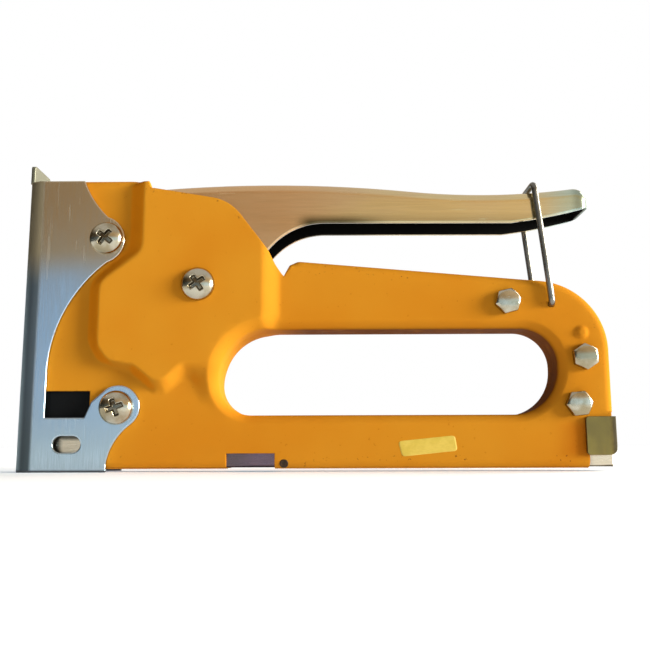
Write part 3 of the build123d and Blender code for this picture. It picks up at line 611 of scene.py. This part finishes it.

# %% [markdown]
# ## Plated steel
# The screws, the wire, the catch and the inner steel have a thin plating. A passivated plating shows
# faint bands of two tints, fine rolling lines, and rubbed places. One maker of finishes takes the
# two tints, the direction of the lines, and how dull the plating is. On the catch the rear bend is painted
# dark, dull and not metallic: painted shade.


# %% Plated steel
def plated(name, tint, second_tint, band, dull, lines, dark_end=0.1):
    """Metal whose colour drifts between two tints by a noise of size band, with drawn-out fine lines.

    Past dark_end metres along the tool a soft edge leads to painted shade: dark, dull and not metallic."""
    material, place = new_finish(name)
    along = place.axis(0)
    drift = between(cloud(place, band, 2.0), 0.35, 0.65)
    fine = cloud(place, 0.00022, 2.0, stretch=lines)
    scratch = between(cloud(place, 0.0006, 2.0, stretch=[3 * s for s in lines]), 0.68, 0.74)
    # bend_shade: a band past dark_end, on the catch its rear bend, painted dark: painted shade
    bend_shade = between(along + (cloud(place, 0.0012, 2.0) - 0.5) * 0.0006, dark_end - 0.0009, dark_end + 0.0008)
    bend_shade = bend_shade * (1 - between(along, dark_end + 0.0015, dark_end + 0.0018))
    base = mix(drift, colour(*tint), colour(*second_tint))
    # the pit value paints a cross recess darker, as painted shade, and a ring at a hexagon head's foot
    base = coated(base, (between(fine, 0.3, 0.7, 0.0, 0.12), (96, 92, 86)),
                  (kept_value(place, "pit") * 0.65, (50, 43, 32)), (bend_shade * 0.9, (46, 40, 26)))
    rough = dull + between(fine, 0.3, 0.7, -0.04, 0.05) + scratch * 0.10 + bend_shade * 0.40
    return close_finish(material, place, {
        "Base Color": base, "Metallic": 1 - bend_shade, "Roughness": rough, "Specular IOR Level": 0.1,
        "Normal": relief(fine * 0.3 - scratch * 0.6, 0.00002, soft_edges(place, 0.0003))})


print("plated steel ready")

# %% [markdown]
# ## Nose plating
# The nose is bent from bright plated sheet. Towards its top it has a straw tint, and lower down the
# blue-white of zinc: a passivation tint, and a painted reflection of the room. The bend at the front is painted
# dark and is rougher: painted reflection of the dim side of the room. The tongue over the roof is a darker
# grey, and the lowest millimetre of the foot is painted dark: painted shade.


# %% Nose plating
def nose_plating():
    """Zinc and straw tints by height, a band of painted reflection along the front bend, and lines drawn
    upwards.
    """
    material, place = new_finish("nose_plating")
    along, high = place.axis(0), place.axis(2)
    wander = high + (cloud(place, 0.020, 2.0) - 0.5) * 0.008
    drawn = cloud(place, 0.00025, 2.0, stretch=(1, 1, 30))
    scratch = between(cloud(place, 0.0005, 2.0, stretch=(2, 1, 40), turn=(0, 0.15, 0)), 0.68, 0.73)
    # bend and bend_shade: the front bend painted dark: painted reflection of the dim side of the room
    bend = span(along, (-0.0896, -0.0890), (-0.0848, -0.0836))
    bend_shade = mix(between(high, 0.010, 0.055), colour(30, 44, 50), colour(44, 62, 70))
    bend_shade = mix(between(along, -0.0890, -0.0866), colour(150, 170, 178), bend_shade)
    bend_shade = coated(bend_shade, (between(wander, 0.054, 0.068), (146, 134, 106)))
    # zinc and straw tints by height: a passivation tint and a painted reflection of the room
    base = mix(between(high, 0.004, 0.030), colour(182, 200, 210), colour(202, 220, 240))
    base = coated(base, (between(wander, 0.056, 0.068), (214, 198, 172)))
    base = mix(bend * 0.85, base, bend_shade)
    # a darker grey on the tongue, drawn lines, and the lowest millimetre of the foot painted dark: painted
    # shade
    base = coated(base, (between(high, 0.0894, 0.0902), (126, 126, 110)),
                  (between(drawn, 0.3, 0.7, 0.0, 0.14), (120, 118, 112)),
                  (1 - between(high, 0.0003, 0.0010), (84, 86, 90)))
    rough = 0.17 + between(drawn, 0.3, 0.7, -0.03, 0.05) + scratch * 0.12 + bend * 0.30
    return close_finish(material, place, {
        "Base Color": base, "Metallic": 1.0, "Roughness": rough,
        "Normal": relief(drawn * 0.25 - scratch * 0.5, 0.00002, soft_edges(place, 0.0006))})


print("nose plating ready")

# %% [markdown]
# ## Handle plating
# The handle has the same plating in a warmer straw. Its lower edge is painted darker, most near the pivot,
# and the tail end under the wire has gone dull and grey-green. The inside of the channel is painted
# near black, dull and barely metallic: painted shade.


# %% Handle plating
def handle_plating():
    """Straw tints along the grip, then the tail's, a darker lower edge, lines and the painted shade inside."""
    material, place = new_finish("handle_plating")
    along, across, high = (place.axis(number) for number in range(3))
    facing_up = place.node("ShaderNodeNewGeometry", output="Normal").axis(2)
    # inside: the inner faces of the channel, painted near black and barely metallic: painted shade
    inside = 1 - between(across.maths("ABSOLUTE", across), 0.00655, 0.0066)
    inside = inside * (1 - between(facing_up, 0.3, 0.5)) * (1 - between(along, 0.0841, 0.0845))
    cloudy = cloud(place, 0.018, 3.0, stretch=(2.5, 1, 1))
    drawn = cloud(place, 0.0003, 2.0, stretch=(40, 1, 1))
    scratch = between(cloud(place, 0.0006, 2.0, stretch=(30, 1, 1.5)), 0.69, 0.74)
    tail = between(along, 0.0832, 0.0848)
    # darkening: a darker tone along the lower edge, most near the pivot and fading towards the rear
    darkening = (1 - between(high + (cloudy - 0.5) * 0.002, 0.0757, 0.0796)) * between(along, -0.007, -0.001)
    darkening = darkening * between(along, 0.008, 0.026, 0.95, 0.30)
    base = mix(between(cloudy, 0.35, 0.65), colour(232, 214, 164), colour(224, 196, 154))
    base = coated(base, (1 - between(along, -0.012, 0.016), (226, 186, 140)),
                  (between(along, 0.066, 0.082), (196, 214, 200)),
                  (between(along, 0.0790, 0.0822) * 0.8, (150, 164, 150)), (tail * 0.9, (84, 98, 92)),
                  (darkening, (74, 66, 40)), (between(drawn, 0.3, 0.7, 0.0, 0.10), (130, 116, 84)),
                  (inside, (10, 10, 9)))
    rough = 0.20 + between(cloudy, 0.3, 0.7, -0.03, 0.06) + scratch * 0.10 + inside * 0.35 + tail * 0.25
    return close_finish(material, place, {
        "Base Color": base, "Metallic": (1 - inside * 0.8) * (1 - tail), "Roughness": rough,
        "Specular IOR Level": 0.1,
        "Normal": relief(drawn * 0.2 - scratch * 0.5, 0.00002, soft_edges(place, 0.0008))})


print("handle plating ready")

# %% [markdown]
# ## Magazine steel
# The magazine is a thin folded channel of mauve passivated steel. Its ends, which the staples and the
# catch rub, are bright, but its front end and a band along its top under the nose are painted dark: painted
# shade. A dark line along its lower edge is painted contact shadow.


# %% Magazine steel
def magazine_steel():
    """Two mauves by a noise, bright at both ends, then painted shade, rolling lines and painted contact shadow.
    """
    material, place = new_finish("magazine_steel")
    along, high = place.axis(0), place.axis(2)
    drift = between(cloud(place, 0.012, 2.0), 0.35, 0.65)
    rolled = cloud(place, 0.00025, 2.0, stretch=(24, 1, 1))
    rubbed = 1 - span(along, (-0.066, -0.060), (0.079, 0.083))
    # contact_shadow: a dark line painted along the lower edge: painted contact shadow
    contact_shadow = 1 - between(high + (drift - 0.5) * 0.0002, 0.0016, 0.0019)
    # front_end and shade: the front end and a band along the top under the nose, painted dark: painted shade
    front_end = 1 - between(along, -0.0772, -0.0752)
    shade = front_end.maths("MAXIMUM", front_end, between(high, 0.0090, 0.0102))
    shade = shade * (1 - between(along, -0.068, -0.066))
    base = mix(drift, colour(118, 100, 112), colour(106, 94, 98))
    base = coated(base, (rubbed, (222, 206, 180)), (shade * 0.85, (34, 42, 40)),
                  (between(rolled, 0.3, 0.7, 0.0, 0.16), (84, 78, 82)), (contact_shadow * 0.85, (24, 20, 22)))
    rough = 0.30 + between(rolled, 0.3, 0.7, -0.05, 0.06) + contact_shadow * 0.15
    return close_finish(material, place, {
        "Base Color": base, "Metallic": 1.0, "Roughness": rough,
        "Normal": relief(rolled * 0.3, 0.00002, soft_edges(place, 0.0003))})


print("magazine steel ready")

# %% [markdown]
# ## Plastic and rubber
# Inside, the guide block, spring cap and pusher are moulded plastic, and the bumper is rubber. Both are dull
# and black, with the fine grain of a mould.


# %% Plastic and rubber
def moulded(name, tint, second_tint, dull):
    """Two dark tints by a noise, and a fine grain in the roughness and the relief."""
    material, place = new_finish(name)
    grain = cloud(place, 0.0004, 3.0)
    base = mix(between(cloud(place, 0.006, 2.0), 0.3, 0.7), colour(*tint), colour(*second_tint))
    return close_finish(material, place, {
        "Base Color": base, "Roughness": dull + between(grain, 0.3, 0.7, -0.08, 0.08),
        "Specular IOR Level": 0.1, "Normal": relief(grain, 0.00004)})


print("plastic and rubber ready")

# %% [markdown]
# ## Finishes of the slots
# Each material slot of the CAD model gets its finish. The plated ones differ in their two tints, the size of
# the drift between them, dullness, and the way that their lines run.

# %% Finishes of the slots
finishes = {"shell_paint": shell_paint(), "nose_plating": nose_plating(), "handle_plating": handle_plating(),
            "magazine_steel": magazine_steel()}
metals = {
    "screw_steel": ((196, 190, 172), (164, 152, 124), 0.004, 0.17, (1, 1, 1)),
    "spacer_steel": ((200, 202, 200), (180, 178, 168), 0.006, 0.35, (1, 12, 1)),
    "wire_steel": ((148, 146, 140), (118, 116, 110), 0.006, 0.30, (1, 1, 8)),
    "catch_steel": ((134, 119, 66), (118, 105, 62), 0.008, 0.34, (1, 1, 6), 0.0877),
    "rod_steel": ((200, 200, 202), (180, 180, 180), 0.01, 0.28, (20, 1, 1)),
    "hard_steel": ((120, 118, 118), (98, 98, 102), 0.01, 0.38, (1, 1, 12)),
    "spring_steel": ((160, 158, 154), (130, 126, 120), 0.005, 0.32, (1, 1, 1)),
}
for name, values in metals.items():
    finishes[name] = plated(name, *values)
finishes["guide_plastic"] = moulded("guide_plastic", (6, 8, 10), (11, 13, 15), 0.55)
finishes["bumper_rubber"] = moulded("bumper_rubber", (20, 20, 19), (30, 29, 28), 0.75)
print(len(finishes), "finishes")

# %% Put the finishes on
slots = {}
for node in nodes.values():
    for slot in node.material_slots:
        old = slot.material.name.split(".")[0]
        slots.setdefault(old, []).append(node.name)
        if old in finishes:
            slot.material = finishes[old]
for piece in shells.values():
    piece.data.materials.clear()
    piece.data.materials.append(finishes["shell_paint"])
print({key: len(value) for key, value in slots.items()})

# %% [markdown]
# ## Front screws
# The three front screws have low domed heads with a cross recess. A turned profile gives head and shank,
# and the recess is taken out of the dome by a soft mask of two crossed bars, each screw at its own turn.
# The same mask is kept on the mesh, and the plating is painted darker by it: painted shade in the recess.

# %% Screw helpers
past_seat, tip, shank_chamfer, screw_crease = 3.0, 0.02, 0.3, 40


def turned_about(place, radius, level, angle):
    """Polar grid about an axis across the tool; a higher level lies further out on the near side."""
    x, z = place[0] + radius * np.cos(angle), place[1] + radius * np.sin(angle)
    return np.stack([x, -level, z], axis=-1)[:, ::-1] * mm


def fasten(node, name, grid, pit):
    """Makes a screw from its grid, painted darker where the pit is 1, in place of a CAD screw."""
    screw = grid_piece(name, grid, close_columns=True)
    screw.data.set_sharp_from_angle(angle=math.radians(screw_crease))
    keep_values(screw.data, "pit", pit)
    screw.data.materials.append(finishes["screw_steel"])
    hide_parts(node)
    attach(screw, "base")


print("screw helpers ready")


# %% Front screws
def domed_screw(place, seat, turn, head=5.1, shank=2.5, spokes=160):
    """Polar grid: an elliptic dome less a cross of two soft bars, then the edge, the shank and its end.

    Returns the grid, and the cross as a number from 0 to 1 for each of its points."""
    edge, rise, recess, arm_side, arm_end = 0.4, 2.6, 1.3, (0.45, 0.85), (2.0, 2.9)
    r = np.concatenate([np.linspace(tip, 3.3, 46), head * np.sin(np.linspace(0.72, math.pi / 2, 16))])[:, None]
    angle = np.linspace(0, 2 * math.pi, spokes, endpoint=False)
    p, q = np.abs(r * np.cos(angle - turn)), np.abs(r * np.sin(angle - turn))
    bars = [(1 - smooth_step(*arm_side, a)) * (1 - smooth_step(*arm_end, b)) for a, b in ((p, q), (q, p))]
    cross = np.maximum(*bars)
    dome = edge + rise * np.sqrt(np.maximum(0, 1 - (r / (head + 0.02)) ** 2)) - recess * cross
    far = -(2 * seat + past_seat)
    tail_r = np.array([head, head - 0.1, shank, shank, shank - 0.2, tip])[:, None]
    tail_y = np.array([0.1, 0.0, 0.0, far + shank_chamfer, far, far])[:, None]
    level = seat + np.vstack([dome, np.broadcast_to(tail_y, (len(tail_y), spokes))])
    grid = turned_about(place, np.vstack([r, tail_r]), level, angle)
    return grid, np.vstack([cross, np.zeros((len(tail_y), spokes))])[:, ::-1]


nose_sheet = 1.3
seats = {"upper_nose_screw": side + nose_sheet, "lower_nose_screw": side + nose_sheet,
         "pivot_screw": side + boss_rise}
turns = {"upper_nose_screw": 0.9, "lower_nose_screw": 0.35, "pivot_screw": 0.6}
for node, place in front_places.items():
    fasten(node, node.replace("screw", "dome"), *domed_screw(place, seats[node], turns[node]))
print("three domed screws")

# %% [markdown]
# ## Rear screws
# The rear screws have hexagon heads. A hexagon is cut from a turned bar, so the cone that the lathe left
# on its end meets the six flats in arcs, and the end is a little crowned. Radius and level over angle and
# row give all of it.


# %% Rear screws
def hexagon_screw(place, seat, turn, half=3.5, face=3.2, height=2.5, shank=2.0, spokes=120):
    """Polar grid: a crowned disc, a cone out to the hexagon, the flats, then the shank and its end.

    The hexagon's radius is the half width over the cosine of the angle from the nearest flat's middle."""
    crown_rise, cone_slope = 0.3, 0.62
    angle = np.linspace(0, 2 * math.pi, spokes, endpoint=False)
    whole = np.ones(spokes)
    flat = half / np.cos((angle - turn) % (math.pi / 3) - math.pi / 6)
    disc = np.linspace(tip, face, 14)[:, None] * whole
    crown = height + crown_rise * (1 - (disc / face) ** 2)
    cone = height - cone_slope * (flat - face)
    far = -(2 * seat + past_seat)
    tail_r = [r * whole for r in (shank, shank, shank - 0.2, tip)]
    tail_y = [y * whole for y in (0.1, 0, 0, far + shank_chamfer, far, far)]
    radius = np.vstack([disc, flat - 0.12, flat, flat, flat - 0.1, *tail_r])
    level = np.vstack([crown, cone, cone - 0.14, *tail_y])
    darkening = np.zeros(radius.shape)
    darkening[len(disc) + 2:len(disc) + 4] = 0.7
    return turned_about(place, radius, seat + level, angle), darkening[:, ::-1]


turns = {"rear_upper_screw": 0.25, "rear_middle_screw": 0.6, "rear_lower_screw": 0.1}
for node, place in rear_places.items():
    fasten(node, node.replace("screw", "hexagon"), *hexagon_screw(place, side, turns[node]))
print("three hexagon screws")

# %% [markdown]
# ## Lock wire
# The bail that holds the handle down is one length of bright wire: two bent-in feet that sit in the
# shells, two legs and a cross bar over the handle. The handle pulls the bar down tight, so it lies lower here
# than in the free wire. The path lies in one leaning plane, and a circle carried along it gives the wire.


# %% Lock wire
def bent_wire(path, radius, foot, lean, spokes=24):
    """A circle carried along a plane path: at each point its axes are the path's normal and the plane's.

    The path's first number runs across the tool and the second up the leaning legs; both ends are closed."""
    ends = np.vstack([path[:1], path[:1], path, path[-1:], path[-1:]])
    size = np.full(len(ends), radius)
    size[[0, 1, -2, -1]] = (0.01, 0.8 * radius, 0.8 * radius, 0.01)
    aside = inward(path)
    aside = np.vstack([aside[:1], aside[:1], aside, aside[-1:], aside[-1:]])
    angle = np.linspace(0, 2 * math.pi, spokes, endpoint=False)
    flat = ends[:, None] + aside[:, None] * (size[:, None] * np.cos(angle))[..., None]
    out = size[:, None] * np.sin(angle)
    x = foot[0] - flat[..., 1] * math.sin(lean) + out * math.cos(lean)
    z = foot[1] + flat[..., 1] * math.cos(lean) + out * math.sin(lean)
    return np.stack([x, flat[..., 0], z], axis=-1) * mm


wire_radius, wire_lean, bar_z = 0.95, math.radians(6.0), 87.8
leg_y, foot_end_y, foot_bend, bar_bend, wire_step = 9.4, 6.0, 1.3, 2.2, 0.4
leg = (bar_z - wire_foot[1]) / math.cos(wire_lean)
wire_corners = [(-foot_end_y, 0), (-leg_y, 0), (-leg_y, leg), (leg_y, leg), (leg_y, 0), (foot_end_y, 0)]
wire_path = rounded(wire_corners, {1: foot_bend, 2: bar_bend, 3: bar_bend, 4: foot_bend}, wire_step)
bail = grid_piece("bail", bent_wire(wire_path, wire_radius, wire_foot, wire_lean), close_columns=True)
bail.data.materials.append(finishes["wire_steel"])
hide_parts("lock_wire")
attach(bail, "lock_wire")
print("bail", len(bail.data.polygons), "faces")

# %% [markdown]
# ## Label and drain eyelets
# A small bare paper label sits on the lower bar. Behind the notch in the rim, a small hole on each side
# is drawn as a dark eyelet, a ring lip round a dish, whose dark is painted shade. Both are thin skins that
# follow the shell, with their edges tucked just under its surface.


# %% Label
def label_skin(corners, rows, columns, flat_u=0.86, flat_v=0.5, proud=0.09, tuck=0.02):
    """Bilinear patch over four corners; its corners are rounded and its border dips under the paint.

    Past flat_u and flat_v a point that lies outside an ellipse is pulled in to it."""
    v, u = np.meshgrid(np.linspace(-1, 1, rows), np.linspace(-1, 1, columns), indexing="ij")
    border = np.maximum(np.abs(u), np.abs(v))
    past_u, past_v = np.maximum(0, np.abs(u) - flat_u), np.maximum(0, np.abs(v) - flat_v)
    corner = np.hypot(past_u / (1 - flat_u), past_v / (1 - flat_v))
    pull = np.where(corner > 1, 1 / np.maximum(corner, 1e-9), 1)
    u = np.sign(u) * (np.minimum(np.abs(u), flat_u) + past_u * pull)
    v = np.sign(v) * (np.minimum(np.abs(v), flat_v) + past_v * pull)
    a, b = (u[..., None] + 1) / 2, (v[..., None] + 1) / 2
    c = np.array(corners)
    flat = (c[0] * (1 - a) + c[1] * a) * (1 - b) + (c[3] * (1 - a) + c[2] * a) * b
    lift = np.where(border > 0.999, -tuck, proud)
    return np.stack([flat[..., 0], -side - lift, flat[..., 1]], axis=-1) * mm


label_corners = [(25.7, 4.3), (42.3, 6.0), (41.6, 10.6), (24.6, 8.9)]
label = grid_piece("label", label_skin(label_corners, rows=25, columns=61))
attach(label, "base")
paper, place = new_finish("label_paper")
fibre = cloud(place, 0.0004, 4.0, stretch=(3, 1, 1))
stain = between(cloud(place, 0.004, 3.0), 0.35, 0.7)
tone = mix(stain, colour(214, 188, 80), colour(200, 174, 62))
tone = coated(tone, (between(fibre, 0.35, 0.7, 0.0, 0.3), (190, 162, 62)))
label.data.materials.append(close_finish(paper, place, {
    "Base Color": tone, "Roughness": 0.45 + between(fibre, 0.3, 0.7, -0.06, 0.1),
    "Normal": relief(fibre, 0.00003, strength=0.4)}))
print("label", len(label.data.polygons), "faces")


# %% Drain eyelets
def eyelet(centre, mirror, size=0.75):
    """Polar grid: a ring lip round a dish, laid on the rolled rim, whose drop is that of a quarter circle."""
    r = size * np.array([0.01, 0.5, 0.95, 1.15, 1.3, 1.5, 1.7, 1.8])[:, None]
    lift = np.array([0.02, 0.02, 0.03, 0.10, 0.16, 0.16, 0.06, -0.10])[:, None]
    angle = np.linspace(0, 2 * math.pi, 48, endpoint=False)
    x, z = centre[0] + r * np.cos(angle), centre[1] + r * np.sin(angle)
    rest = np.clip(rim_round + low_z - z, 0, rim_round)
    drop = rim_round - np.sqrt(rim_round ** 2 - rest ** 2)
    return np.stack([x, -mirror * (side - drop + lift), z], axis=-1)[:, ::mirror] * mm


eyelet_place = (-9.2, 2.4)
# the eyelet's dark stands in for the shade inside a small hole: painted shade
hole_shade, place = new_finish("painted_hole_shade")
mottle = cloud(place, 0.0006, 3.0)
tone = mix(between(mottle, 0.35, 0.65), colour(40, 27, 14), colour(62, 44, 22))
close_finish(hole_shade, place, {
    "Base Color": tone, "Metallic": 0.4, "Roughness": 0.45 + between(mottle, 0.3, 0.7, -0.08, 0.1),
    "Normal": relief(mottle, 0.00004)})
for name, mirror in (("near_eyelet", 1), ("far_eyelet", -1)):
    ring = grid_piece(name, eyelet(eyelet_place, mirror), close_columns=True)
    ring.data.materials.append(hole_shade)
    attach(ring, "base")
print("two eyelets")

# %% [markdown]
# ## Studio
# A white table, a white room and one large soft lamp on the right, which lights the slopes that face
# the rear and leaves those that face the nose darker. A weaker lamp does the same for the far side.


# %% Floor
def floor_disc(radius, rings, spokes, drop=2e-5):
    """Polar grid: rings of growing radius round the origin, all a hair below height 0."""
    r = radius * (np.arange(rings) / (rings - 1)) ** 2 + 1e-4
    a = np.linspace(0, 2 * math.pi, spokes, endpoint=False)
    return np.stack([r[:, None] * np.cos(a), r[:, None] * np.sin(a), np.full((rings, spokes), -drop)], axis=-1)


floor = grid_piece("floor", floor_disc(radius=12.0, rings=24, spokes=96), close_columns=True)
floor_finish, place = new_finish("floor_finish")
tone = mix(between(cloud(place, 0.25, 3.0), 0.3, 0.7), (0.89, 0.89, 0.89, 1), (0.93, 0.93, 0.93, 1))
floor.data.materials.append(close_finish(floor_finish, place, {
    "Base Color": tone, "Roughness": 0.8, "Emission Color": (0.72, 0.86, 1, 1), "Emission Strength": 0.35}))
print("floor", len(floor.data.polygons), "faces")


# %% Lamps
def lamp(name, energy, tint, spread, way):
    """A distant lamp whose light travels along way, from a disc of spread degrees."""
    light = bpy.data.lights.new(name, "SUN")
    light.energy, light.color, light.angle = energy, tint, math.radians(spread)
    holder = linked(name, light)
    holder.rotation_euler = Vector(way).to_track_quat("-Z", "Y").to_euler()


lamp("window_light", energy=7.0, tint=(1.0, 0.97, 0.86), spread=26, way=(-0.93, 0.30, -0.14))
lamp("back_light", energy=2.8, tint=(1.0, 0.97, 0.90), spread=40, way=(-0.80, -0.44, -0.41))
print("two lamps")

# %% [markdown]
# The camera sees plain white all round. The tool sees walls that grow brighter towards the rear, and a dim
# ceiling. Plating mirrors these walls in two bands, cool below and straw above, as bright sheet does in a room.


# %% Room
def glow(way, tint, strength):
    """Light of a tint and a strength from all round."""
    return way.node("ShaderNodeBackground", {}, {"Color": tint, "Strength": strength})


room = bpy.data.worlds.new("room")
scene.world = room
way = empty_tree(room, "Generated")
along, up = way.axis(0), way.axis(2)
mirrored = way.node("ShaderNodeLightPath", output="Is Glossy Ray")
seen = way.node("ShaderNodeLightPath", output="Is Camera Ray")
bands = mix(between(up, 0.20, 0.24), (0.84, 1.08, 1.25, 1), (0.74, 0.54, 0.32, 1))
walls = mix(mirrored, (1.0, 0.77, 0.50, 1), bands)
side_light = glow(way, walls, between(along, -1.0, 0.6, 0.05, 0.78) * (0.60 + 0.90 * mirrored))
top_light = glow(way, (1, 0.95, 0.88, 1), 0.30 + 0.40 * mirrored)
light = way.node("ShaderNodeMixShader", {}, {0: between(up, 0.42, 0.70), 1: side_light, 2: top_light})
surround = way.node("ShaderNodeMixShader", {}, {0: seen, 1: light, 2: glow(way, (1, 1, 1, 1), 1.0)})
way.node("ShaderNodeOutputWorld", {}, {"Surface": surround})
scene.view_settings.view_transform = "Standard"
print("room of", len(room.node_tree.nodes), "nodes")
